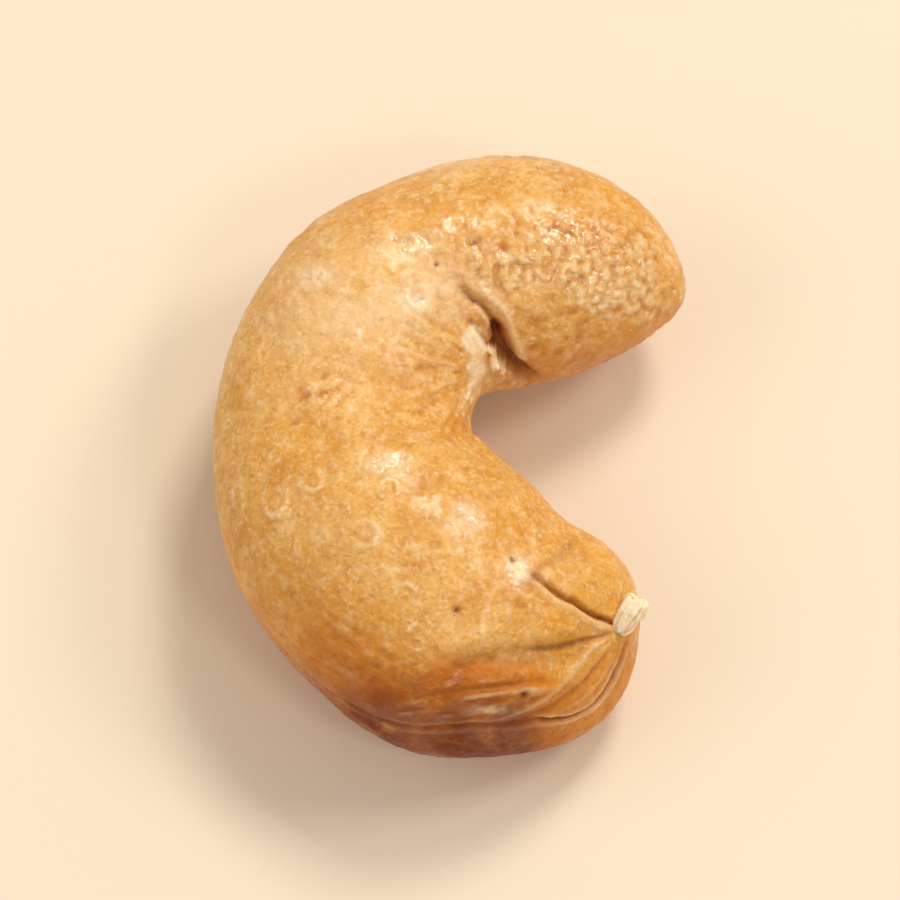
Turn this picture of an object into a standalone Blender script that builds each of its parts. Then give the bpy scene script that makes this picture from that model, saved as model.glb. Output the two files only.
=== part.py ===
"""A whole roasted cashew kernel, lying on its broad side.

Metres, +Z up. The origin is on the table, under the middle of the kernel's box. Both ends point
to +X: the blunt end is at +Y, and the pointed end, with the germ tip, is at -Y. The sizes below
are in mm.
"""

import math

import bmesh
import bpy
import numpy as np
from mathutils import Matrix, Vector, noise

MM = 0.001

# The kernel's form: cuts across it, from the blunt end to the pointed end. Each has x and y of the
# outer edge, x and y of the inner edge, the height of its middle, and its thickness over its width.
# At the two ends the outer and the inner edge meet.
CUTS = np.array(
    (
        (9.4, 7.2, 9.4, 7.2, 4.6, 0.97),
        (7.85, 10.4, 8.05, 5.25, 4.5, 0.98),
        (5.0, 12.15, 5.5, 3.8, 4.5, 0.98),
        (1.7, 12.5, 3.2, 3.2, 4.6, 0.97),
        (-2.1, 11.5, 1.8, 2.9, 4.8, 0.97),
        (-5.9, 9.1, 1.3, 2.5, 5.0, 0.97),
        (-8.7, 5.1, 1.0, 1.8, 4.9, 0.95),
        (-9.6, -0.1, 1.0, 0.8, 4.8, 0.92),
        (-8.8, -5.1, 1.8, -0.3, 5.2, 0.88),
        (-5.9, -9.4, 3.3, -1.7, 5.3, 0.85),
        (-1.7, -12.3, 4.8, -3.1, 4.8, 0.85),
        (2.7, -12.3, 6.5, -4.1, 4.55, 0.90),
        (5.2, -10.9, 7.4, -5.4, 4.8, 0.94),
        (7.1, -7.8, 7.1, -7.8, 5.3, 0.95),
    )
)
LAST_CUT = len(CUTS) - 1

# The outer side is a little fuller than the inner one, by this share of the thickness.
OUTER_FULLNESS = 0.06

# The pointed end turns up, from this cut on, by this much at the very tip.
TIP_TILT = math.radians(24)
TIP_TILT_FROM = 9.0

# The mesh: rings from end to end, and columns round the kernel, closer together by the two seams.
RINGS = 66
COLUMNS = 60
COLUMN_CROWDING = 0.4

# Where the seam between the halves runs, in degrees round a cut: from the outer edge, and from the
# inner edge, towards the upper face. Each pair is a cut and the turn there.
OUTER_SEAM = ((0, 0), (6, 0), (8.8, -6), (10.6, 19), (11.2, 16), (12.7, -34), (13, -34))
INNER_SEAM = ((0, -25), (4, -20), (7, 0), (9.2, 58), (10.2, 73), (11.4, 83), (12.3, 88), (13, 86))

# The outer seam: a fine groove in a shallow valley. It fades out at the blunt end.
GROOVE_DEPTH = 0.3
GROOVE_WIDTH = 0.3
VALLEY_DEPTH = 0.25
VALLEY_WIDTH = 1.3
OUTER_SEAM_STARTS = (0.6, 2.0)

# The inner seam, which only opens near the tip, where the halves part round the germ.
SPLIT_DEPTH = 0.5
SPLIT_WIDTH = 0.42
SPLIT_STARTS = (10.2, 10.9)

# Both seams run out into the very tip, from this cut on.
SEAMS_END_FROM = 12.4

# Creases and folds on the upper face, each a straight stroke: its two ends as x and y, its width
# and its depth. The first two are the fold where the blunt end closes on the body.
CREASES = (
    ((0.8, 5.4), (1.9, 4.4), 0.5, 0.4),
    ((1.9, 4.4), (2.3, 3.2), 0.7, 0.9),
    ((6.0, -8.7), (3.0, -9.9), 0.7, 0.35),
    ((3.0, -9.9), (0.0, -10.6), 0.8, 0.25),
    ((2.9, -11.4), (0.8, -11.3), 0.5, 0.15),
)

# Slow lumps over the whole surface.
LUMP_HEIGHT = 0.22
LUMP_SIZE = 6.0

# The table under the kernel. What would reach below it is pressed flat: three small spots, one
# under the blunt end, one under the outer side and one under the pointed end.
ORIGIN = Vector((0.03, -0.10, 0.10))

# The germ tip: a small blunt peg in the mouth of the split.
GERM_ROOT = Vector((6.6, -8.0, 5.8))
GERM_TIP = Vector((7.8, -6.7, 6.7))
GERM_ROOT_RADIUS = 0.7
GERM_TIP_RADIUS = 0.6
GERM_SIDES = 12

ROASTED_GOLD = (0.74, 0.43, 0.14, 1)
ROASTED_ROUGHNESS = 0.42


def smooth_step(low, high, value):
    share = np.clip((value - low) / (high - low), 0, 1)
    return share * share * (3 - 2 * share)


def bell(distance, width):
    return np.exp(-((distance / width) ** 2))


def smooth_curve(points, before, after, place):
    """The points of a smooth curve, at places counted in given points from the first one."""
    given = np.vstack([before, points, after])
    first = np.clip(place.astype(int), 0, len(points) - 2)
    share = (place - first)[:, None]
    a, b, c, d = given[first], given[first + 1], given[first + 2], given[first + 3]
    slope_b = (c - a) / 2
    slope_c = (d - b) / 2
    cubic = 2 * (b - c) + slope_b + slope_c
    square = 3 * (c - b) - 2 * slope_b - slope_c
    return b + share * (slope_b + share * (square + share * cubic))


def smooth_turn(pairs, place):
    """An angle in radians that passes through the pairs of a cut and a turn in degrees."""
    cuts = [pair[0] for pair in pairs]
    turns = [pair[1] for pair in pairs]
    steps = np.searchsorted(cuts, place, side="right").clip(1, len(cuts) - 1)
    low = np.take(cuts, steps - 1)
    high = np.take(cuts, steps)
    share = smooth_step(low, high, place)
    return np.radians(np.take(turns, steps - 1) * (1 - share) + np.take(turns, steps) * share)


def plain_form(place, column):
    """The surface without its relief: the spots in mm, the height round each cut from -1 to 1, and
    how far each spot is from the outer and from the inner seam."""
    outer_edge = smooth_curve(CUTS[:, 0:2], CUTS[1, 2:4], CUTS[-2, 2:4], place)
    inner_edge = smooth_curve(CUTS[:, 2:4], CUTS[1, 0:2], CUTS[-2, 0:2], place)
    rest = smooth_curve(CUTS[:, 4:6], CUTS[1, 4:6], CUTS[-2, 4:6], place)
    middle = np.column_stack([(outer_edge + inner_edge) / 2, rest[:, 0]])
    outwards = np.column_stack([(outer_edge - inner_edge) / 2, np.zeros(len(place))])
    half_width = np.linalg.norm(outwards, axis=1)
    half_thickness = half_width * rest[:, 1]

    across = outwards / np.maximum(half_width, 1e-6)[:, None]
    onwards = np.cross(across, (0, 0, 1))
    tilt = (TIP_TILT * smooth_step(TIP_TILT_FROM, LAST_CUT, place))[:, None]
    upwards = np.array((0, 0, 1)) * np.cos(tilt) + onwards * np.sin(tilt)

    by_outer_edge = (1 + np.cos(column)) / 2
    turn = column + smooth_turn(OUTER_SEAM, place) * by_outer_edge
    turn -= smooth_turn(INNER_SEAM, place) * (1 - by_outer_edge)
    height = np.sin(turn)
    fullness = 1 + OUTER_FULLNESS * np.cos(turn)
    spots = middle + outwards * np.cos(turn)[:, None]
    spots += upwards * (half_thickness * height * fullness)[:, None]

    mean_radius = (half_width + half_thickness) / 2
    from_outer_seam = np.abs(column) * mean_radius
    from_inner_seam = (math.pi - np.abs(column)) * mean_radius
    return spots, height, from_outer_seam, from_inner_seam


def stroke(spots, start, end, width):
    """A soft-edged stroke as seen from above, 1 along its middle and fading out at its two ends."""
    start = np.array(start)
    along = np.array(end) - start
    share = ((spots[:, 0:2] - start) @ along / (along @ along)).clip(0, 1)
    nearest = start + share[:, None] * along
    return bell(np.linalg.norm(spots[:, 0:2] - nearest, axis=1), width)


def relief(place, spots, height, from_outer_seam, from_inner_seam):
    """How far the skin stands out from the plain form, in mm."""
    lumps = [noise.noise(Vector(spot) / LUMP_SIZE) for spot in spots]
    rise = LUMP_HEIGHT * np.array(lumps)

    before_tip = 1 - smooth_step(SEAMS_END_FROM, LAST_CUT, place)
    groove = GROOVE_DEPTH * bell(from_outer_seam, GROOVE_WIDTH)
    valley = VALLEY_DEPTH * bell(from_outer_seam, VALLEY_WIDTH)
    rise -= before_tip * smooth_step(*OUTER_SEAM_STARTS, place) * (groove + valley)
    split = SPLIT_DEPTH * bell(from_inner_seam, SPLIT_WIDTH)
    rise -= before_tip * smooth_step(*SPLIT_STARTS, place) * split

    on_upper_face = smooth_step(-0.2, 0.4, height)
    for start, end, width, depth in CREASES:
        rise -= depth * on_upper_face * stroke(spots, start, end, width)
    return rise


def kernel_mesh():
    """The two halves in one skin: a ball whose poles are the kernel's two ends."""
    shape = bmesh.new()
    bmesh.ops.create_uvsphere(shape, u_segments=COLUMNS, v_segments=RINGS, radius=1)
    ball = np.array([vert.co for vert in shape.verts])
    place = np.arccos(ball[:, 2].clip(-1, 1)) / math.pi * LAST_CUT
    column = np.arctan2(ball[:, 1], ball[:, 0])
    column -= COLUMN_CROWDING / 2 * np.sin(2 * column)

    spots, height, from_outer_seam, from_inner_seam = plain_form(place, column)
    for vert, spot in zip(shape.verts, spots):
        vert.co = spot
    bmesh.ops.recalc_face_normals(shape, faces=shape.faces)
    shape.normal_update()

    rise = relief(place, spots, height, from_outer_seam, from_inner_seam)
    for vert, amount in zip(shape.verts, rise):
        vert.co += vert.normal * amount

    bmesh.ops.translate(shape, vec=-ORIGIN, verts=shape.verts)
    for vert in shape.verts:
        vert.co.z = max(vert.co.z, 0)
    bmesh.ops.scale(shape, vec=(MM, MM, MM), verts=shape.verts)
    return shape


def germ_mesh():
    """The germ tip: a tapered peg with a rounded end, its root sunk between the halves."""
    shape = bmesh.new()
    reach = GERM_TIP - GERM_ROOT
    bmesh.ops.create_cone(
        shape,
        cap_ends=True,
        segments=GERM_SIDES,
        radius1=GERM_ROOT_RADIUS,
        radius2=GERM_TIP_RADIUS,
        depth=reach.length,
    )
    top = [edge for edge in shape.edges if all(vert.co.z > 0 for vert in edge.verts)]
    bmesh.ops.bevel(shape, geom=top, offset=GERM_TIP_RADIUS * 0.5, segments=2, affect="EDGES", profile=0.5)
    upright = Matrix.Translation(Vector((0, 0, reach.length / 2)))
    leaning = reach.to_track_quat("Z", "Y").to_matrix().to_4x4()
    placed = Matrix.Scale(MM, 4) @ Matrix.Translation(GERM_ROOT - ORIGIN) @ leaning @ upright
    bmesh.ops.transform(shape, matrix=placed, verts=shape.verts)
    return shape


def roasted_skin():
    """Roasted cashew: a golden, slightly oily surface."""
    material = bpy.data.materials.new("roasted cashew")
    material.use_nodes = True
    shader = material.node_tree.nodes["Principled BSDF"]
    shader.inputs["Base Color"].default_value = ROASTED_GOLD
    shader.inputs["Roughness"].default_value = ROASTED_ROUGHNESS
    shader.inputs["Metallic"].default_value = 0
    return material


def add_piece(name, shape, collection):
    mesh = bpy.data.meshes.new(name)
    shape.to_mesh(mesh)
    shape.free()
    mesh.shade_smooth()
    piece = bpy.data.objects.new(name, mesh)
    collection.objects.link(piece)
    return piece


def main():
    for old in list(bpy.data.objects):
        bpy.data.objects.remove(old)
    cashew = bpy.data.collections.new("roasted cashew nut")
    joined = bpy.data.collections.new("joined shapes")
    bpy.context.scene.collection.children.link(cashew)
    bpy.context.scene.collection.children.link(joined)

    germ = add_piece("germ_tip", germ_mesh(), joined)
    germ.hide_render = True
    germ.display_type = "WIRE"

    kernel = add_piece("cashew_kernel", kernel_mesh(), cashew)
    kernel.data.materials.append(roasted_skin())
    union = kernel.modifiers.new("germ tip", "BOOLEAN")
    union.operation = "UNION"
    union.object = germ


if __name__ == "__main__":
    main()
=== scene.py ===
"""The looks of a roasted cashew kernel: its oily, toasted skin, lit softly on a pale floor.

Metres in the frame, mm in the named sizes below. The kernel lies on its broad side, its two ends
towards +X, the blunt one at +Y and the pointed one, with the germ tip, at -Y.
"""

import math

import bmesh
import bpy
import numpy as np
from mathutils import Matrix, Vector, noise


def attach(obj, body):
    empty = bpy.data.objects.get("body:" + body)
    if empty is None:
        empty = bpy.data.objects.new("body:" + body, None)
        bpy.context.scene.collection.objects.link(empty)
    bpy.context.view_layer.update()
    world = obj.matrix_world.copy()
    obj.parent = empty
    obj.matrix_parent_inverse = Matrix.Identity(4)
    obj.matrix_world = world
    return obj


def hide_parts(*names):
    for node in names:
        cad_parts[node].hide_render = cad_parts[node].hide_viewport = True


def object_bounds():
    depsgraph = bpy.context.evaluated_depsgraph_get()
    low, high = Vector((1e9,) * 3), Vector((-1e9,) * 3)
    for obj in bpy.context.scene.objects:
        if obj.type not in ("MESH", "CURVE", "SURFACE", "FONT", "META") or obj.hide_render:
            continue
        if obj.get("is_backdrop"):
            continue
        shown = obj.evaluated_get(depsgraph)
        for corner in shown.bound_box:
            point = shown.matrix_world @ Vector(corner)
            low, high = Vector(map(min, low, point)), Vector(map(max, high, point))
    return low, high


MM = 0.001

# The kernel's form: cuts across it, from the blunt end to the pointed end. Each has x and y of the
# outer edge, x and y of the inner edge, the height of its middle, and its thickness over its width.
CUTS = np.array(
    (
        (9.4, 7.2, 9.4, 7.2, 4.6, 0.97),
        (7.85, 10.4, 8.05, 5.25, 4.5, 0.98),
        (5.0, 12.15, 5.5, 3.8, 4.5, 0.98),
        (1.7, 12.5, 3.2, 3.2, 4.6, 0.97),
        (-2.1, 11.5, 1.8, 2.9, 4.8, 0.97),
        (-5.9, 9.1, 1.3, 2.5, 5.0, 0.97),
        (-8.7, 5.1, 1.0, 1.8, 4.9, 0.95),
        (-9.6, -0.1, 1.0, 0.8, 4.8, 0.92),
        (-8.8, -5.1, 1.8, -0.3, 5.2, 0.88),
        (-5.9, -9.4, 3.3, -1.7, 5.3, 0.85),
        (-1.7, -12.3, 4.8, -3.1, 4.8, 0.85),
        (2.7, -12.3, 6.5, -4.1, 4.55, 0.90),
        (5.2, -10.9, 7.4, -5.4, 4.8, 0.94),
        (7.1, -7.8, 7.1, -7.8, 5.3, 0.95),
    )
)
LAST_CUT = len(CUTS) - 1
OUTER_FULLNESS = 0.06
TIP_TILT = math.radians(24)
TIP_TILT_FROM = 9.0
ORIGIN = Vector((0.03, -0.10, 0.10))

# Where the seam runs, in degrees round a cut: from the outer edge, and from the inner edge,
# towards the upper face. Each pair is a cut and the turn there.
OUTER_SEAM = ((0, 0), (6, 0), (8.8, -6), (10.6, 19), (11.2, 16), (12.7, -34), (13, -34))
INNER_SEAM = ((0, -25), (4, -20), (7, 0), (9.2, 58), (10.2, 73), (11.4, 83), (12.3, 88), (13, 86))
OUTER_SEAM_STARTS = (0.6, 2.0)
SPLIT_STARTS = (10.2, 10.9)
SEAMS_END_FROM = 12.4

# The mesh: 0.1 mm from ring to ring and 0.12 mm from column to column.
RINGS = 368
COLUMNS = 266
COLUMN_CROWDING = 0.4

# The view: as the photograph looks at the broad side of the kernel.
CAMERA_HEIGHT = math.radians(70)
CAMERA_DISTANCE = 0.50
FRAME_SIDE = 36.0
SENSOR = 36.0


def smooth_step(low, high, value):
    share = np.clip((value - low) / (high - low), 0, 1)
    return share * share * (3 - 2 * share)


def bell(distance, width):
    return np.exp(-((distance / width) ** 2))


def grain(spots, size, shift=0):
    """Soft noise of about -0.6 to 0.6, in bumps of the given size in mm. The shift picks another
    stretch of the noise."""
    start = Vector((shift, 0, 0))
    return np.array([noise.noise(Vector(spot) / size + start) for spot in spots])


def pebbles(spots, size):
    """Round pebbles of the given size in mm: 0 in the gaps between them, 1 on top."""
    away = np.array([noise.voronoi(Vector(spot) / size)[0][0] for spot in spots])
    return 1 - (away / 0.8).clip(0, 1) ** 2


def smooth_curve(points, before, after, place):
    """The points of a smooth curve, at places counted in given points from the first one."""
    given = np.vstack([before, points, after])
    first = np.clip(place.astype(int), 0, len(points) - 2)
    share = (place - first)[:, None]
    a, b, c, d = given[first], given[first + 1], given[first + 2], given[first + 3]
    slope_b = (c - a) / 2
    slope_c = (d - b) / 2
    cubic = 2 * (b - c) + slope_b + slope_c
    square = 3 * (c - b) - 2 * slope_b - slope_c
    return b + share * (slope_b + share * (square + share * cubic))


def smooth_turn(pairs, place):
    """An angle in radians that passes through the pairs of a cut and a turn in degrees."""
    cuts = [pair[0] for pair in pairs]
    turns = [pair[1] for pair in pairs]
    steps = np.searchsorted(cuts, place, side="right").clip(1, len(cuts) - 1)
    low = np.take(cuts, steps - 1)
    high = np.take(cuts, steps)
    share = smooth_step(low, high, place)
    return np.radians(np.take(turns, steps - 1) * (1 - share) + np.take(turns, steps) * share)


def plain_form(place, column):
    """The surface without its relief: the spots in mm, the height round each cut from -1 to 1, and
    how far each spot is from the outer and from the inner seam, above 0 on the upper half."""
    outer_edge = smooth_curve(CUTS[:, 0:2], CUTS[1, 2:4], CUTS[-2, 2:4], place)
    inner_edge = smooth_curve(CUTS[:, 2:4], CUTS[1, 0:2], CUTS[-2, 0:2], place)
    rest = smooth_curve(CUTS[:, 4:6], CUTS[1, 4:6], CUTS[-2, 4:6], place)
    middle = np.column_stack([(outer_edge + inner_edge) / 2, rest[:, 0]])
    outwards = np.column_stack([(outer_edge - inner_edge) / 2, np.zeros(len(place))])
    half_width = np.linalg.norm(outwards, axis=1)
    half_thickness = half_width * rest[:, 1]

    across = outwards / np.maximum(half_width, 1e-6)[:, None]
    onwards = np.cross(across, (0, 0, 1))
    tilt = (TIP_TILT * smooth_step(TIP_TILT_FROM, LAST_CUT, place))[:, None]
    upwards = np.array((0, 0, 1)) * np.cos(tilt) + onwards * np.sin(tilt)

    by_outer_edge = (1 + np.cos(column)) / 2
    turn = column + smooth_turn(OUTER_SEAM, place) * by_outer_edge
    turn -= smooth_turn(INNER_SEAM, place) * (1 - by_outer_edge)
    height = np.sin(turn)
    fullness = 1 + OUTER_FULLNESS * np.cos(turn)
    spots = middle + outwards * np.cos(turn)[:, None]
    spots += upwards * (half_thickness * height * fullness)[:, None]

    mean_radius = (half_width + half_thickness) / 2
    from_outer_seam = column * mean_radius
    from_inner_seam = np.sign(column) * (math.pi - np.abs(column)) * mean_radius
    return spots, height, from_outer_seam, from_inner_seam


# The relief. Its places are given as the camera sees them: mm to the right of the kernel's middle,
# and mm up from it.
CAMERA_LEVEL = 4.9

# Slow lumps over the whole surface, as on the solid, and finer ones on them: size and height.
LUMPS = ((6.0, 0.22), (2.4, 0.06), (1.1, 0.03))

# The finest unevenness of the skin: size and height.
PUCKERS = ((0.5, 0.03), (0.27, 0.015))

# No line runs quite straight: the size of its bends, and how far they go.
WANDERING = ((1.5, 0.09), (0.45, 0.04))

# Noise that varies other things: its size, how much it does, and the stretch of noise it takes.
SEAM_VARIES = (1.3, 0.9, 7)
PATCH_EDGE_VARIES = ((0.4, 0.22, 3), (0.16, 0.1, 4))
PATCH_PALENESS_VARIES = (0.5, 0.8, 23)
PEBBLED_VARIES = (2.6, 0.8, 13)
PEBBLED_OVAL_VARIES = (0.9, 0.8, 31)
TOAST_VARIES = (2.4, 0.08, 41)
PUCKERS_SHIFT = 17

# The outer seam: a fine groove in a shallow valley, with a thin lip on each side. It is deepest
# and darkest near the pointed end. The groove's darkness is painted shade, and the lips'
# paleness a painted highlight.
GROOVE_DEPTH = 0.26
GROOVE_DEPTH_ELSEWHERE = 0.08
GROOVE_WIDTH = 0.15
GROOVE_DEEPENS = (10.9, 12.0)
GROOVE_SHADE = 0.8
GROOVE_SHADE_ELSEWHERE = 0.2
VALLEY_DEPTH = 0.25
VALLEY_WIDTH = 1.3
LIP_HEIGHT = 0.07
LIP_PLACE = 0.3
LIP_WIDTH = 0.14
LIP_HIGHLIGHT = 0.4
LIP_SHARE_ELSEWHERE = 0.25

# The split at the pointed end: a deeper cut, with the upper half's edge standing up beside it.
# The cut's darkness is painted shade, and the edge's paleness a painted highlight.
SPLIT_DEPTH = 0.34
SPLIT_WIDTH = 0.11
SPLIT_SHADE = 0.6
SPLIT_WANDER = 0.6
EDGE_HEIGHT = 0.07
EDGE_PLACE = 0.3
EDGE_WIDTH = 0.2
EDGE_HIGHLIGHT = 0.3

# Creases: width, depth, how dark they are, and their points; the darkness is painted shade in the
# crease. The first three are where the blunt end closes on the body, the next three run to the
# germ, and the last lies by the split.
CREASES = (
    (0.16, 0.3, 0.45, ((0.35, 6.8), (1.0, 6.15), (1.5, 5.7), (1.8, 5.3), (2.1, 4.7), (2.3, 4.2))),
    (0.13, 0.24, 0.5, ((0.8, 5.3), (1.3, 4.7), (1.5, 4.36), (1.7, 4.13), (2.3, 3.95))),
    (0.34, 0.8, 0.9, ((1.7, 5.4), (2.05, 4.6), (2.25, 4.1), (2.5, 3.5), (2.9, 3.0), (3.5, 2.6))),
    (0.16, 0.15, 0.4,
     ((6.9, -7.2), (6.24, -7.4), (5.58, -7.63), (4.79, -7.86), (4.0, -7.93), (2.9, -8.0))),
    (0.65, 0.3, 0.25,
     ((6.2, -7.5), (4.79, -8.0), (2.95, -8.2), (1.83, -8.3), (0.84, -8.5), (-1.0, -9.1))),
    (0.16, 0.1, 0.35,
     ((6.9, -7.5), (6.2, -8.3), (5.4, -9.2), (4.4, -10.1), (3.2, -10.8), (1.8, -11.3))),
    (0.18, 0.05, 0.3, ((2.9, -5.6), (3.21, -5.17), (3.74, -4.57), (4.27, -4.18), (5.2, -3.4))),
)

# Thin ridges: width, height, how pale they are, and their points; the paleness is a painted
# highlight along the ridge. They are the lip of the blunt end by the fold, a sliver in the fold,
# two edges that run to the germ, and a faint arc.
RIDGES = (
    (0.17, 0.16, 0.45,
     ((0.7, 6.9), (1.3, 6.5), (1.96, 5.9), (2.33, 5.5), (2.55, 4.9), (2.8, 4.1), (3.1, 3.3))),
    (0.14, 0.14, 0.3, ((1.15, 5.9), (1.42, 5.45), (1.64, 5.0), (1.86, 4.59), (2.0, 4.2))),
    (0.14, 0.1, 0.3,
     ((6.9, -7.1), (5.9, -7.8), (5.1, -8.7), (4.1, -9.7), (2.9, -10.5), (1.5, -11.0))),
    (0.12, 0.07, 0.15, ((6.8, -7.9), (6.3, -8.9), (5.5, -9.8), (4.4, -10.6), (3.0, -11.2))),
    (0.11, 0.04, 0.3,
     ((1.75, -5.6), (1.6, -5.96), (1.4, -6.55), (1.34, -7.07), (1.47, -7.67), (1.7, -8.0))),
)

# Patches of bare flesh, where the skin tore: half width, height, paleness, and their points.
PATCHES = (
    (0.4, 0.03, 0.85, ((1.0, 4.7), (1.14, 4.2), (1.14, 3.4), (1.05, 2.4))),
    (0.15, 0.15, 1.0, ((1.74, 3.95), (1.8, 3.35))),
    (0.19, 0.12, 0.8, ((2.06, 3.3), (2.12, 2.95))),
    (0.18, 0.04, 0.6, ((2.42, -4.45), (2.82, -4.6), (2.69, -5.0))),
)

# Blisters: their place, radius, and the bearing in degrees of the side that stands up most. Their
# rings are painted paler, most on that side: a painted highlight.
BLISTERS = (
    (-7.04, -1.98, 0.55, -50),
    (-5.4, -1.1, 0.4, -60),
    (-3.26, -3.16, 0.52, 0),
    (-1.69, -5.61, 0.38, 90),
    (-1.69, -6.91, 0.2, 0),
    (-1.27, -7.67, 0.22, -30),
    (-8.5, -1.71, 0.3, 120),
    (-5.15, 7.03, 0.22, 40),
    (-1.14, 6.22, 0.42, 200),
    (-3.71, 4.59, 0.22, 10),
    (-2.81, 7.84, 0.26, 70),
    (-1.54, 8.38, 0.3, 0),
    (-2.3, -1.4, 0.35, 60),
)
BLISTER_HEIGHT = 0.07
BLISTER_HIGHLIGHT = 0.6

# More small blisters, scattered all round, their rings also painted paler as a painted highlight.
SCATTERED = 220
SCATTERED_RADIUS = (0.07, 0.26)
SCATTERED_HEIGHT = 0.022
SCATTERED_HIGHLIGHT = 0.12

# Pinholes and burnt specks: place and radius. They are painted dark: painted shade in the
# pinholes, and the specks' own burnt colour.
PITS = (
    (2.59, -4.21, 0.14),
    (0.36, -6.2, 0.14),
    (1.07, 8.29, 0.11),
    (-0.46, 7.57, 0.1),
    (3.03, -9.64, 0.15),
)
PIT_DEPTH = 0.1

# Fields of fine folds: the middle, the two radii, the lean of the folds in degrees, their length
# and width, and their height. They lie below the edge to the germ, along the outer edge, in two
# places on the broad side, and on the blunt end.
FOLDS = (
    ((1.2, -9.8), (3.0, 0.9), 8, 1.7, 0.3, 0.16),
    ((-4.2, -7.6), (3.4, 1.8), -38, 1.8, 0.27, 0.05),
    ((-5.2, 2.0), (1.5, 1.1), 35, 0.5, 0.2, 0.18),
    ((-1.0, 1.0), (4.0, 4.0), 60, 1.4, 0.4, 0.03),
    ((4.6, 5.0), (2.6, 1.2), 18, 1.2, 0.3, 0.06),
)

# Fine wrinkles that fan out from the fold: where from, how far they reach, how many there are in a
# turn of one radian, how long they are for how far out they lie, and how high they stand.
WRINKLES_FROM = (1.5, 3.2)
WRINKLES_REACH = (0.6, 1.3, 2.4, 4.6)
WRINKLES_ROUND = 9.0
WRINKLES_SHORTNESS = 1.6
WRINKLE_HEIGHT = 0.1

# Pebbled skin on the blunt end, and much fainter on the rest. It is strongest in some oval places,
# given by their middle, their two radii, how pebbled they are, and how much painted sheen they get.
PEBBLED = (
    (4.7, 7.9, 4.0, 1.7, 1.0, 0.0),
    (6.6, 6.4, 1.7, 1.2, 0.9, 0.1),
    (-1.7, 8.3, 1.2, 0.5, 0.65, 0.2),
    (-1.5, 6.0, 0.9, 0.5, 0.6, 0.4),
    (-5.4, 7.0, 0.7, 0.5, 0.6, 0.45),
    (-2.4, -0.6, 1.0, 0.5, 0.6, 0.4),
    (0.6, -2.7, 0.9, 0.9, 0.6, 0.45),
    (2.7, -4.6, 0.7, 0.7, 0.45, 0.5),
    (1.4, -10.3, 1.0, 0.35, 0.5, 0.2),
)
PEBBLED_UP_TO = (3.4, 5.0)
PEBBLED_ON_AVERAGE = 0.2
PEBBLE_SIZE = 0.38
PEBBLE_HEIGHT = 0.12
PEBBLE_HEIGHT_ELSEWHERE = 0.018
# The pebbles' tops are painted paler: painted glints.
PEBBLE_GLINT = 0.4

# The masks for the colours. The crests of the fine relief are painted lighter than its troughs, a
# painted light and shade: how steeply the mask rises with the height.
RELIEF_SHADING_RISE = 6

# Browned along the outer side from these cuts on, more and more towards the pointed end, less
# again at its very tip and under it: partly toast, and partly painted shade, as it grows towards
# the bottom of the picture between the two seen heights in mm given after the cuts. The blunt
# end's inner side and the underside are darkened too, a painted shade.
TOASTED_FROM = (5.5, 8.5)
SHADE_TOWARDS_BOTTOM = (-3.5, -11.8)
TIP_TOASTED_LESS = 0.5
UNDER_TIP_TOASTED_LESS = 0.5
INNER_SIDE_SHADE = 0.3
UNDERSIDE_SHADE = 0.3

# A pale painted broad sheen: ovals on the broad side, by their middle, their two radii, and how
# strong the sheen is.
SHEEN_OVALS = ((-2.0, 6.3, 3.2, 1.9, 1.0), (-5.5, 5.0, 2.2, 2.6, 0.5))


def as_seen(spots):
    """The spots as the camera sees them: mm to the right, mm up, and mm towards the camera."""
    lean, flat = math.sin(CAMERA_HEIGHT), math.cos(CAMERA_HEIGHT)
    up = spots[:, 1] * lean + (spots[:, 2] - CAMERA_LEVEL) * flat
    nearer = spots[:, 2] * lean - spots[:, 1] * flat
    return np.column_stack([spots[:, 0], up, nearer])


def on_the_skin(spots, seen, points):
    """The places on the skin that the camera sees at the given points."""
    found = []
    for point in points:
        away = np.hypot(seen[:, 0] - point[0], seen[:, 1] - point[1])
        found.append(spots[np.argmax(seen[:, 2] - 20 * np.maximum(away, 0.1))])
    return np.array(found)


def stroke(spots, points):
    """How far each spot is from the smooth line through the points, and a share that dies out
    towards the line's two ends."""
    places = np.linspace(0, len(points) - 1, 4 * len(points))
    line = smooth_curve(points, 2 * points[0] - points[1], 2 * points[-1] - points[-2], places)
    steps = np.linalg.norm(np.diff(line, axis=0), axis=1)
    nearest = np.full(len(spots), np.inf)
    run = np.zeros(len(spots))
    for start, end, step, before in zip(line, line[1:], steps, np.cumsum(steps) - steps):
        along = (end - start) / step
        reach = ((spots - start) @ along).clip(0, step)
        away = np.linalg.norm(spots - start - reach[:, None] * along, axis=1)
        run = np.where(away < nearest, before + reach, run)
        nearest = np.minimum(nearest, away)
    share = run / steps.sum()
    return nearest, smooth_step(0, 0.2, share) * (1 - smooth_step(0.8, 1, share))


def stretched_grain(across, along, shift):
    """Soft noise on two flat coordinates, given in bump widths and bump lengths."""
    return np.array([noise.noise(Vector((a, b, shift))) for a, b in zip(across, along)])


def fold_field(seen, middle, radii, lean, length, width, shift):
    """A patch of long soft folds that fades out at its rim."""
    lean = math.radians(lean)
    right, up = seen[:, 0] - middle[0], seen[:, 1] - middle[1]
    along = right * math.cos(lean) + up * math.sin(lean)
    across = up * math.cos(lean) - right * math.sin(lean)
    rim = (along / radii[0]) ** 2 + (across / radii[1]) ** 2
    return np.exp(-rim * rim) * stretched_grain(across / width, along / length, shift)


def blister(away, bearing, radius, standing):
    """A thin ring that stands up most on one side, round a moat with a small dome in its middle."""
    lean = 0.55 + 0.45 * np.cos(bearing - math.radians(standing))
    ring = bell(away - radius, 0.06 + 0.06 * radius) * lean
    return ring - 0.4 * bell(away - 0.6 * radius, 0.25 * radius) + 0.3 * bell(away, 0.3 * radius)


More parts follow.
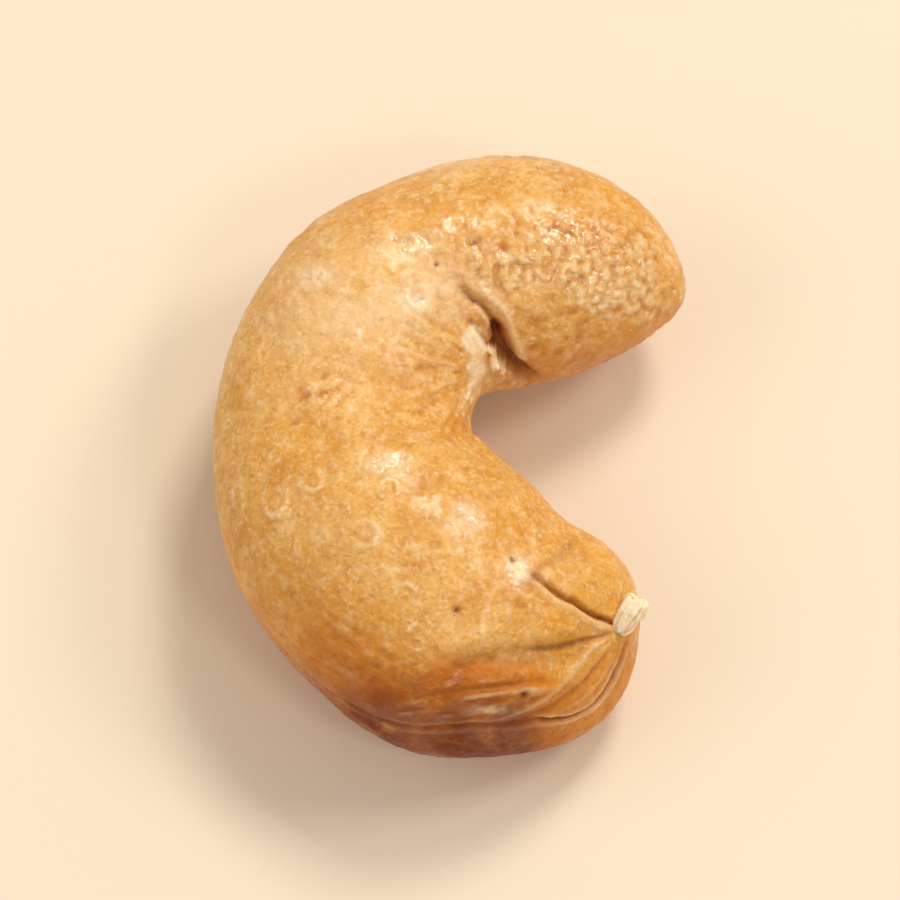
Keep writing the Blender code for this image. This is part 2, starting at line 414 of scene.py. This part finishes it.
def relief(place, spots, height, from_outer_seam, from_inner_seam):
    """How far the skin stands out from the plain form, in mm, and the masks for its colours."""
    seen = as_seen(spots)
    facing = smooth_step(-0.1, 0.35, height)
    noise.seed_set(5)  # without it, noise_vector differs from run to run
    wander = np.zeros_like(spots)
    for size, far in WANDERING:
        wander += far * np.array([noise.noise_vector(Vector(spot) / size) for spot in spots])
    rise = sum(tall * grain(spots, size) for size, tall in LUMPS)
    fine = sum(tall * grain(spots, size, PUCKERS_SHIFT) for size, tall in PUCKERS)
    # Masks of painted shade, with the burnt specks, and of painted highlights, with the bare flesh.
    painted_shade_and_specks = np.zeros(len(place))
    painted_highlights_and_bare_flesh = np.zeros(len(place))
    before_tip = 1 - smooth_step(SEAMS_END_FROM, LAST_CUT, place)

    # The outer seam.
    size, amount, shift = SEAM_VARIES
    uneven = 1 + amount * grain(spots, size, shift)
    seam = before_tip * smooth_step(*OUTER_SEAM_STARTS, place)
    aside = from_outer_seam + wander[:, 2]
    rise -= seam * VALLEY_DEPTH * bell(from_outer_seam, VALLEY_WIDTH)
    near_tip = smooth_step(*GROOVE_DEEPENS, place)
    groove = GROOVE_DEPTH_ELSEWHERE + (GROOVE_DEPTH - GROOVE_DEPTH_ELSEWHERE) * near_tip
    rise -= seam * uneven * groove * bell(aside, GROOVE_WIDTH)
    # Painted shade along the groove.
    shade_amount = GROOVE_SHADE_ELSEWHERE + (GROOVE_SHADE - GROOVE_SHADE_ELSEWHERE) * near_tip
    painted_shade_and_specks += seam * shade_amount * uneven.clip(0.2, 1) * bell(aside, GROOVE_WIDTH)
    lips = seam * (LIP_SHARE_ELSEWHERE + (1 - LIP_SHARE_ELSEWHERE) * near_tip)
    lips *= uneven.clip(0, 1) * bell(np.abs(aside) - LIP_PLACE, LIP_WIDTH)
    rise += LIP_HEIGHT * lips
    # Painted highlight on the lips.
    painted_highlights_and_bare_flesh += LIP_HIGHLIGHT * lips

    # The split at the pointed end.
    split = before_tip * smooth_step(*SPLIT_STARTS, place)
    aside = from_inner_seam + SPLIT_WANDER * wander[:, 0]
    rise -= split * SPLIT_DEPTH * bell(aside, SPLIT_WIDTH)
    # Painted shade in the split.
    painted_shade_and_specks += SPLIT_SHADE * split * bell(aside, SPLIT_WIDTH)
    edge = bell(aside - EDGE_PLACE, EDGE_WIDTH)
    rise += split * EDGE_HEIGHT * edge
    # Painted highlight on the standing edge.
    painted_highlights_and_bare_flesh += EDGE_HIGHLIGHT * split * edge

    # Creases, ridges and bare patches.
    wandering = spots + wander
    for width, depth, shade_amount, points in CREASES:
        away, ends = stroke(wandering, on_the_skin(spots, seen, points))
        rise -= depth * ends * bell(away, width)
        # Painted shade in the crease.
        painted_shade_and_specks += shade_amount * ends * bell(away, width)
    for width, tall, paleness, points in RIDGES:
        away, ends = stroke(wandering, on_the_skin(spots, seen, points))
        rise += tall * ends * bell(away, width)
        # Painted highlight along the ridge.
        painted_highlights_and_bare_flesh += paleness * ends * bell(away, width)
    flat = (seen + 1.6 * wander)[:, 0:2]
    ragged = sum(far * grain(spots, size, shift) for size, far, shift in PATCH_EDGE_VARIES)
    size, amount, shift = PATCH_PALENESS_VARIES
    mottled = 0.85 + amount * grain(spots, size, shift)
    for half_width, tall, paleness, points in PATCHES:
        away = stroke(flat, np.array(points))[0] + ragged
        patch = facing * (1 - smooth_step(half_width * 0.7, half_width * 1.25, away))
        rise += tall * patch
        painted_shade_and_specks *= 1 - patch
        painted_highlights_and_bare_flesh = np.maximum(painted_highlights_and_bare_flesh, paleness * patch * mottled)

    # Blisters and pits.
    for right, up, radius, standing in BLISTERS:
        middle = on_the_skin(spots, seen, ((right, up),))[0]
        away = np.linalg.norm(spots + 0.5 * wander - middle, axis=1)
        bearing = np.arctan2(seen[:, 1] - up, seen[:, 0] - right)
        ring = blister(away, bearing, radius, standing)
        fine += BLISTER_HEIGHT * ring
        # Painted highlight on the ring, most on the side that stands up.
        painted_highlights_and_bare_flesh += BLISTER_HIGHLIGHT * ring.clip(0, 1)
    chance = np.random.default_rng(5)
    for middle in spots[chance.integers(0, len(spots), SCATTERED)]:
        away = np.linalg.norm(spots + 0.6 * wander - middle, axis=1)
        bearing = np.arctan2(spots[:, 1] - middle[1], spots[:, 0] - middle[0])
        radius = chance.uniform(*SCATTERED_RADIUS)
        ring = blister(away, bearing, radius, chance.uniform(0, 360))
        fine += SCATTERED_HEIGHT * ring
        # Painted highlight on the ring.
        painted_highlights_and_bare_flesh += SCATTERED_HIGHLIGHT * ring.clip(0, 1)
    for right, up, radius in PITS:
        middle = on_the_skin(spots, seen, ((right, up),))[0]
        pit = bell(np.linalg.norm(spots - middle, axis=1), radius)
        rise -= PIT_DEPTH * pit
        # Painted shade in the pinholes, and the burnt specks' own colour.
        painted_shade_and_specks += pit

    # Folds and wrinkles.
    for number, (middle, radii, lean, length, width, tall) in enumerate(FOLDS):
        folds = fold_field(seen + wander, middle, radii, lean, length, width, number * 9)
        fine += tall * facing * folds
    right, up = WRINKLES_FROM
    away = np.hypot(seen[:, 0] - right, seen[:, 1] - up)
    bearing = np.arctan2(seen[:, 1] - up, seen[:, 0] - right)
    near, full, fading, far = WRINKLES_REACH
    reach = smooth_step(near, full, away) * (1 - smooth_step(fading, far, away))
    to_the_left = smooth_step(0.1, -0.6, np.cos(bearing - 0.2))
    outwards = WRINKLES_SHORTNESS * np.log(away + 0.1)
    fan = stretched_grain(bearing * WRINKLES_ROUND, outwards, 5)
    fine += WRINKLE_HEIGHT * reach * to_the_left * facing * fan

    # Pebbles.
    size, amount, shift = PEBBLED_VARIES
    pebbled = (PEBBLED_ON_AVERAGE + amount * grain(spots, size, shift)).clip(0, 1)
    pebbled *= 1 - smooth_step(*PEBBLED_UP_TO, place)
    size, amount, shift = PEBBLED_OVAL_VARIES
    varied = facing * (1 + amount * grain(spots, size, shift))
    for right, up, half_width, half_height, most, painted_sheen in PEBBLED:
        aside = np.hypot((flat[:, 0] - right) / half_width, (flat[:, 1] - up) / half_height)
        oval = varied * (1 - smooth_step(0.3, 1.3, aside))
        pebbled += most * oval
        # Painted sheen on the oval.
        painted_highlights_and_bare_flesh += painted_sheen * oval
    pebbled = pebbled.clip(0, 1)
    domes = pebbles(spots + wander, PEBBLE_SIZE)
    tall = PEBBLE_HEIGHT_ELSEWHERE + (PEBBLE_HEIGHT - PEBBLE_HEIGHT_ELSEWHERE) * pebbled
    fine += tall * (domes - 0.6)
    # Painted glints on the pebbles' tops.
    painted_highlights_and_bare_flesh += PEBBLE_GLINT * pebbled * smooth_step(0.6, 0.95, domes)

    # Painted light on the crests and painted shade in the troughs of the fine relief.
    relief_light_and_shade = (0.5 + RELIEF_SHADING_RISE * fine).clip(0, 1)
    masks = {"painted_shade_and_specks": painted_shade_and_specks.clip(0, 1), "painted_highlights_and_bare_flesh": painted_highlights_and_bare_flesh.clip(0, 1), "relief_light_and_shade": relief_light_and_shade, "pebbled": pebbled}
    return rise + fine, masks


def roasting(place, column, spots, height):
    """The masks for the colours: browned, partly toast and partly painted shade; amber; and a pale
    painted broad sheen."""
    seen = as_seen(spots)
    toast_and_shade = smooth_step(-0.3, 0.8, np.cos(column)) * smooth_step(*TOASTED_FROM, place)
    toast_and_shade *= 1 - TIP_TOASTED_LESS * smooth_step(10.8, 12.0, place)
    toast_and_shade *= 1 - UNDER_TIP_TOASTED_LESS * smooth_step(-0.2, -0.8, height)
    # Darker towards the bottom of the picture: painted shade.
    toast_and_shade *= smooth_step(*SHADE_TOWARDS_BOTTOM, seen[:, 1])
    inner_side = smooth_step(-0.55, -1.0, np.cos(column)) * (1 - smooth_step(2.0, 4.0, place))
    # The blunt end's inner side darkened: painted shade.
    toast_and_shade += INNER_SIDE_SHADE * inner_side
    # The underside darkened: painted shade.
    toast_and_shade += UNDERSIDE_SHADE * smooth_step(-0.1, -0.9, height)
    size, amount, shift = TOAST_VARIES
    toast_and_shade *= 1 + amount * grain(spots, size, shift)

    broad_sheen = np.zeros(len(place))
    for right, up, half_width, half_height, sheen_share in SHEEN_OVALS:
        aside = np.hypot((seen[:, 0] - right) / half_width, (seen[:, 1] - up) / half_height)
        # A painted broad sheen.
        broad_sheen += sheen_share * bell(aside, 1)
    amber = smooth_step(10.4, 12.0, place) * smooth_step(-0.6, 0.2, height)
    broad_sheen = broad_sheen.clip(0, 1) * smooth_step(-0.1, 0.3, height)
    return {"toast_and_shade": toast_and_shade.clip(0, 1), "amber": amber, "broad_sheen": broad_sheen}


def add_piece(name, shape, masks):
    """A finished piece from a mesh in mm, with its masks as attributes that its material reads."""
    bmesh.ops.scale(shape, vec=(MM, MM, MM), verts=shape.verts)
    mesh = bpy.data.meshes.new(name)
    shape.to_mesh(mesh)
    shape.free()
    for mask, amounts in masks.items():
        mesh.attributes.new(mask, "FLOAT", "POINT").data.foreach_set("value", amounts)
    mesh.shade_smooth()
    piece = bpy.data.objects.new(name, mesh)
    bpy.context.scene.collection.objects.link(piece)
    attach(piece, "root")
    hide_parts("cashew_kernel")
    return piece


def kernel_skin():
    """The two halves in one skin: a ball whose poles are the kernel's two ends."""
    shape = bmesh.new()
    bmesh.ops.create_uvsphere(shape, u_segments=COLUMNS, v_segments=RINGS, radius=1)
    ball = np.array([vert.co for vert in shape.verts])
    place = np.arccos(ball[:, 2].clip(-1, 1)) / math.pi * LAST_CUT
    column = np.arctan2(ball[:, 1], ball[:, 0])
    column -= COLUMN_CROWDING / 2 * np.sin(2 * column)

    spots, height, from_outer_seam, from_inner_seam = plain_form(place, column)
    for vert, spot in zip(shape.verts, spots):
        vert.co = spot
    bmesh.ops.recalc_face_normals(shape, faces=shape.faces)
    shape.normal_update()

    rise, masks = relief(place, spots, height, from_outer_seam, from_inner_seam)
    for vert, amount in zip(shape.verts, rise):
        vert.co += vert.normal * amount
    bmesh.ops.translate(shape, vec=-ORIGIN, verts=shape.verts)
    for vert in shape.verts:
        vert.co.z = max(vert.co.z, 0)

    masks.update(roasting(place, column, spots, height))
    return add_piece("kernel_skin", shape, masks)


# The germ tip: a small blunt peg in the mouth of the split.
GERM_ROOT = Vector((6.7, -7.95, 5.8))
GERM_TIP = Vector((7.6, -6.8, 6.5))
GERM_HALF_WIDTH = 0.54
GERM_HALF_THICKNESS = 0.46
GERM_RINGS = 72
GERM_COLUMNS = 72
GERM_SQUARENESS = 5.0
GERM_ROOT_NARROWER = 0.14

# Its fine ridges: how far apart, how long and how high; and its rough surface: size and height.
GERM_RIDGES = (0.14, 0.9, 0.07)
GERM_ROUGH = ((0.4, 0.07), (0.15, 0.03))


def germ_tip():
    """A ball squared into a blunt peg, narrower at its root, with fine ridges along its length."""
    shape = bmesh.new()
    bmesh.ops.create_uvsphere(shape, u_segments=GERM_COLUMNS, v_segments=GERM_RINGS, radius=1)
    reach = GERM_TIP - GERM_ROOT
    ridges = []
    for vert in shape.verts:
        x, y, z = vert.co
        bulk = abs(x) ** GERM_SQUARENESS + abs(y) ** GERM_SQUARENESS + abs(z) ** GERM_SQUARENESS
        spot = Vector((x, y, z)) / bulk ** (1 / GERM_SQUARENESS)
        flare = 1 - GERM_ROOT_NARROWER * (1 - spot.z)
        spot.x *= GERM_HALF_WIDTH * flare
        spot.y *= GERM_HALF_THICKNESS * flare
        spot.z *= reach.length / 2
        apart, long, tall = GERM_RIDGES
        ridge = noise.noise(Vector((spot.x / apart, spot.y / apart, spot.z / long)))
        rough = sum(height * noise.noise(spot / size) for size, height in GERM_ROUGH)
        vert.co = spot + spot.normalized() * (rough + tall * ridge)
        ridges.append(0.5 + ridge)
    leaning = reach.to_track_quat("Z", "Y").to_matrix().to_4x4()
    middle = (GERM_ROOT + GERM_TIP) / 2 - ORIGIN
    bmesh.ops.transform(shape, matrix=Matrix.Translation(middle) @ leaning, verts=shape.verts)
    bmesh.ops.recalc_face_normals(shape, faces=shape.faces)
    # The ridge heights become the mask for painted shade between the ridges.
    return add_piece("germ_tip", shape, {"relief_light_and_shade": np.array(ridges).clip(0, 1)})


def linear(colour):
    """An sRGB hex colour as linear red, green, blue and alpha."""
    channels = [int(colour[i : i + 2], 16) / 255 for i in (1, 3, 5)]
    bright = [c / 12.92 if c <= 0.04045 else ((c + 0.055) / 1.055) ** 2.4 for c in channels]
    return (*bright, 1)


def add_node(tree, kind, inputs=None, **settings):
    """One node: its settings by name, and its inputs, each a value or another node's output."""
    node = tree.nodes.new(kind)
    for name, value in settings.items():
        setattr(node, name, value)
    for name, value in (inputs or {}).items():
        if isinstance(value, bpy.types.NodeSocket):
            tree.links.new(value, node.inputs[name])
        else:
            node.inputs[name].default_value = value
    return node


def new_material(name):
    material = bpy.data.materials.new(name)
    material.use_nodes = True
    tree = material.node_tree
    tree.nodes.clear()
    shader = add_node(tree, "ShaderNodeBsdfPrincipled")
    add_node(tree, "ShaderNodeOutputMaterial", {"Surface": shader.outputs["BSDF"]})
    return material, tree, shader


def lay_colours(tree, at, ground, layers):
    """The ground colour with the layers over it, each where its mask and its noise let it show."""
    colour = linear(ground)
    for over, most, mask, speckle in layers:
        amounts = []
        if mask:
            drawn = add_node(tree, "ShaderNodeAttribute", attribute_name=mask[0])
            amounts.append((drawn.outputs["Fac"], *mask[1:]))
        if speckle:
            inputs = {"Vector": at, "Scale": 1 / (speckle[0] * MM), "Detail": 5.0, "Roughness": 0.6}
            drawn = add_node(tree, "ShaderNodeTexNoise", inputs)
            amounts.append((drawn.outputs["Fac"], *speckle[1:]))
        share = most
        for value, none, full in amounts:
            inputs = {"Value": value, "From Min": none, "From Max": full}
            spread = add_node(tree, "ShaderNodeMapRange", inputs)
            inputs = {0: share, 1: spread.outputs["Result"]}
            share = add_node(tree, "ShaderNodeMath", inputs, operation="MULTIPLY").outputs[0]
        inputs = {0: share, 6: colour, 7: linear(over)}
        colour = add_node(tree, "ShaderNodeMix", inputs, data_type="RGBA").outputs[2]
    return colour


# The colours of the skin, each laid over the ones before it: the colour, the most it covers, the
# mask that says where, and the speckle that breaks it up. A mask has its name and its values for
# none and for all of the colour, and a speckle has its size in mm and the same two values.
SKIN_GROUND = "#DC9A3C"
SKIN_COLOURS = (
    ("#E7B160", 1.0, None, (5.0, 0.38, 0.62)),
    ("#D08C33", 0.8, None, (1.6, 0.46, 0.66)),
    ("#F3D098", 0.5, None, (0.7, 0.5, 0.68)),
    ("#DF9E38", 0.7, ("amber", 0.0, 1.0), None),
    ("#C27A20", 0.5, None, (0.42, 0.48, 0.34)),
    ("#B66A16", 0.35, None, (0.2, 0.48, 0.32)),
    # Painted broad sheen.
    ("#F3D3A4", 0.85, ("broad_sheen", 0.0, 1.0), (1.6, 0.3, 0.65)),
    ("#FAE0B0", 0.4, None, (0.34, 0.56, 0.72)),
    ("#FAE0B0", 0.25, None, (0.17, 0.5, 0.7)),
    # Browned: partly toast, partly painted shade.
    ("#D47C14", 0.85, ("toast_and_shade", 0.0, 0.55), (2.0, 0.15, 0.55)),
    ("#A85206", 0.9, ("toast_and_shade", 0.52, 0.84), (1.1, 0.2, 0.55)),
    ("#702600", 0.95, ("toast_and_shade", 0.8, 1.0), (1.1, 0.2, 0.5)),
    ("#9A4A08", 0.4, ("toast_and_shade", 0.2, 0.6), (0.3, 0.5, 0.36)),
    # Painted shade in the troughs and painted light on the crests of the fine relief.
    ("#B05C0A", 0.6, ("relief_light_and_shade", 0.45, 0.1), None),
    ("#F9DCA8", 0.4, ("relief_light_and_shade", 0.6, 1.0), None),
    # Painted highlights and glints, painted sheen, and the bare flesh of the torn patches.
    ("#F9E4BE", 0.85, ("painted_highlights_and_bare_flesh", 0.0, 1.0), None),
    # Painted shade in grooves, creases and pinholes, and the burnt specks' colour.
    ("#7E2E02", 0.95, ("painted_shade_and_specks", 0.0, 1.0), None),
    ("#8A4A1E", 0.6, None, (0.28, 0.78, 0.84)),
)


# The skin's film of oil and its wax: the size of the patches they come in, the film's least and
# most cover between the pebbled places, the wax's roughness where the film is thin and thick, and
# the film's own roughness.
FILM_PATCH = 1.8
FILM_BETWEEN = (0.08, 0.4)
WAX_ROUGHNESS = (0.52, 0.38)
FILM_ROUGHNESS = 0.2

# Fine bumps, too low for the mesh: cells on the pebbled places, with the share of them that is left
# elsewhere, and puckers and pores. Each has its size and height in mm.
CELLS = (0.3, 0.1)
CELLS_ELSEWHERE = 0.05
PORES = ((0.45, 0.14), (0.2, 0.08))

# How far light gets under the skin: red, green and blue, in shares of a length in mm.
LIGHT_REACH = (1.0, 0.4, 0.14)
LIGHT_DEPTH = 0.7


def roasted_cashew():
    """Cashew flesh, roasted in oil: dense, waxy and a little translucent, so that its shaded side
    glows orange. It is deep gold where it browned, partly a painted shade. It carries a painted
    broad sheen, painted highlights and glints on its relief, and painted shade in its creases and
    troughs, and an oil film breaks up the gloss."""
    material, tree, shader = new_material("oil-roasted cashew flesh")
    at = add_node(tree, "ShaderNodeTexCoord").outputs["Object"]
    tree.links.new(lay_colours(tree, at, SKIN_GROUND, SKIN_COLOURS), shader.inputs["Base Color"])

    # The film of oil: thick on the pebbled places, thin and in patches on the rest.
    pebbled = add_node(tree, "ShaderNodeAttribute", attribute_name="pebbled").outputs["Fac"]
    inputs = {"Vector": at, "Scale": 1 / (FILM_PATCH * MM), "Detail": 3.0}
    patches = add_node(tree, "ShaderNodeTexNoise", inputs).outputs["Fac"]
    thinnest, thickest = FILM_BETWEEN
    inputs = {"From Min": 0.4, "From Max": 0.6, "To Min": thinnest, "To Max": thickest}
    thin = add_node(tree, "ShaderNodeMapRange", {"Value": patches, **inputs}).outputs["Result"]
    film = add_node(tree, "ShaderNodeMix", {0: pebbled, 2: thin, 3: 1.0}).outputs[0]
    tree.links.new(film, shader.inputs["Coat Weight"])
    shader.inputs["Coat Roughness"].default_value = FILM_ROUGHNESS
    dull, glossy = WAX_ROUGHNESS
    inputs = {"From Min": 0.3, "From Max": 0.7, "To Min": dull, "To Max": glossy}
    waxy = add_node(tree, "ShaderNodeMapRange", {"Value": patches, **inputs}).outputs["Result"]
    tree.links.new(waxy, shader.inputs["Roughness"])
    shader.inputs["IOR"].default_value = 1.4
    shader.inputs["Specular IOR Level"].default_value = 0.22
    shader.inputs["Subsurface Weight"].default_value = 0.14
    shader.inputs["Subsurface Radius"].default_value = LIGHT_REACH
    shader.inputs["Subsurface Scale"].default_value = LIGHT_DEPTH * MM

    # The fine bumps. The cells also break up the gloss of the film.
    size, tall = CELLS
    inputs = {"Vector": at, "Scale": 1 / (size * MM)}
    cell = add_node(tree, "ShaderNodeTexVoronoi", inputs, feature="SMOOTH_F1").outputs["Distance"]
    inputs = {"Value": pebbled, "To Min": -CELLS_ELSEWHERE, "To Max": -1.0}
    bumps = [(cell, add_node(tree, "ShaderNodeMapRange", inputs).outputs["Result"], tall)]
    for size, tall in PORES:
        inputs = {"Vector": at, "Scale": 1 / (size * MM)}
        pore = add_node(tree, "ShaderNodeTexNoise", inputs).outputs["Fac"]
        bumps.append((pore, patches, tall))
    normal = {}
    for height, share, tall in bumps:
        inputs = {0: height, 1: share}
        height = add_node(tree, "ShaderNodeMath", inputs, operation="MULTIPLY").outputs[0]
        inputs = {"Height": height, "Distance": tall * MM, **normal}
        bump = add_node(tree, "ShaderNodeBump", inputs)
        if not normal:
            tree.links.new(bump.outputs[0], shader.inputs["Coat Normal"])
        normal = {"Normal": bump.outputs[0]}
    tree.links.new(bump.outputs[0], shader.inputs["Normal"])
    return material


GERM_GROUND = "#F5DCB2"
GERM_COLOURS = (
    ("#FDF0D4", 1.0, None, (0.4, 0.35, 0.65)),
    # Darker between the fine ridges: painted shade in the crevices.
    ("#DBA45E", 0.75, ("relief_light_and_shade", 0.55, 0.1), None),
)


def germ_flesh():
    """The dry germ tip: a chalkier cream than the halves, and more translucent for its size."""
    material, tree, shader = new_material("dry cashew germ")
    at = add_node(tree, "ShaderNodeTexCoord").outputs["Object"]
    tree.links.new(lay_colours(tree, at, GERM_GROUND, GERM_COLOURS), shader.inputs["Base Color"])
    shader.inputs["Roughness"].default_value = 0.55
    shader.inputs["Subsurface Weight"].default_value = 0.35
    shader.inputs["Subsurface Radius"].default_value = (1.0, 0.6, 0.3)
    shader.inputs["Subsurface Scale"].default_value = 0.5 * MM
    inputs = {"Vector": at, "Scale": 1 / (0.08 * MM)}
    chalk = add_node(tree, "ShaderNodeTexNoise", inputs).outputs["Fac"]
    inputs = {"Height": chalk, "Distance": 0.02 * MM, "Strength": 0.7}
    bump = add_node(tree, "ShaderNodeBump", inputs)
    tree.links.new(bump.outputs[0], shader.inputs["Normal"])
    return material


def table_paper():
    """Matt cream paper, which is plain and even, as the photograph's ground is."""
    material, _, shader = new_material("cream paper")
    shader.inputs["Base Color"].default_value = linear("#EDDCC4")
    shader.inputs["Roughness"].default_value = 0.9
    return material


def floor():
    shape = bmesh.new()
    bmesh.ops.create_grid(shape, x_segments=1, y_segments=1, size=1.0)
    bmesh.ops.translate(shape, vec=(0, 0, -0.02 * MM), verts=shape.verts)
    mesh = bpy.data.meshes.new("floor")
    shape.to_mesh(mesh)
    shape.free()
    mesh.materials.append(table_paper())
    piece = bpy.data.objects.new("floor", mesh)
    bpy.context.scene.collection.objects.link(piece)
    piece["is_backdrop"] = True


# The lights: place in metres, power in watts, and width. The main one shines from the upper right
# of the picture, and the last one fills the shade on the left.
LIGHTS = {
    "key light": ((0.15, 0.29, 0.44), 1.38, 0.14),
    "side light": ((0.38, 0.13, 0.42), 0.75, 0.14),
    "front light": ((0.22, -0.22, 0.44), 0.32, 0.1),
    "fill light": ((-0.42, -0.06, 0.36), 0.65, 0.4),
}
LIGHT_COLOUR = (1.0, 0.97, 0.93)
SKY_COLOUR = (1.0, 0.95, 0.88, 1)
SKY_STRENGTH = 0.455


def light_and_camera():
    """Soft studio light, and the camera."""
    for name, (place, power, width) in LIGHTS.items():
        light = bpy.data.lights.new(name, "AREA")
        light.energy = power
        light.size = width
        light.color = LIGHT_COLOUR
        lamp = bpy.data.objects.new(name, light)
        lamp.location = place
        lamp.rotation_euler = (-Vector(place)).to_track_quat("-Z", "Y").to_euler()
        bpy.context.scene.collection.objects.link(lamp)
    world = bpy.data.worlds.new("studio")
    world.use_nodes = True
    sky = world.node_tree.nodes["Background"]
    sky.inputs["Color"].default_value = SKY_COLOUR
    sky.inputs["Strength"].default_value = SKY_STRENGTH
    bpy.context.scene.world = world
    bpy.context.scene.view_settings.view_transform = "Standard"

    low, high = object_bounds()
    middle = (Vector(low) + Vector(high)) / 2
    camera = bpy.data.cameras.new("camera")
    camera.sensor_width = SENSOR
    camera.sensor_fit = "HORIZONTAL"
    camera.lens = SENSOR * CAMERA_DISTANCE / (FRAME_SIDE * MM)
    camera.clip_start = 0.01
    eye = bpy.data.objects.new("camera", camera)
    towards_eye = Vector((0, -math.cos(CAMERA_HEIGHT), math.sin(CAMERA_HEIGHT)))
    eye.location = middle + towards_eye * CAMERA_DISTANCE
    eye.rotation_euler = (-towards_eye).to_track_quat("-Z", "Y").to_euler()
    bpy.context.scene.collection.objects.link(eye)
    bpy.context.scene.camera = eye


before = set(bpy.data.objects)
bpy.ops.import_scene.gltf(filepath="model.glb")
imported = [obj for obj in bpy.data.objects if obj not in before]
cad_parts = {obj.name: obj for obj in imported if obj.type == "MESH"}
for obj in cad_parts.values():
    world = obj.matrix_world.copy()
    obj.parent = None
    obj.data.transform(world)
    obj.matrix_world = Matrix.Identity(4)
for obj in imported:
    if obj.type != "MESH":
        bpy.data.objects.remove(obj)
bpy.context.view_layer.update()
kernel_skin().data.materials.append(roasted_cashew())
germ_tip().data.materials.append(germ_flesh())
floor()
light_and_camera()
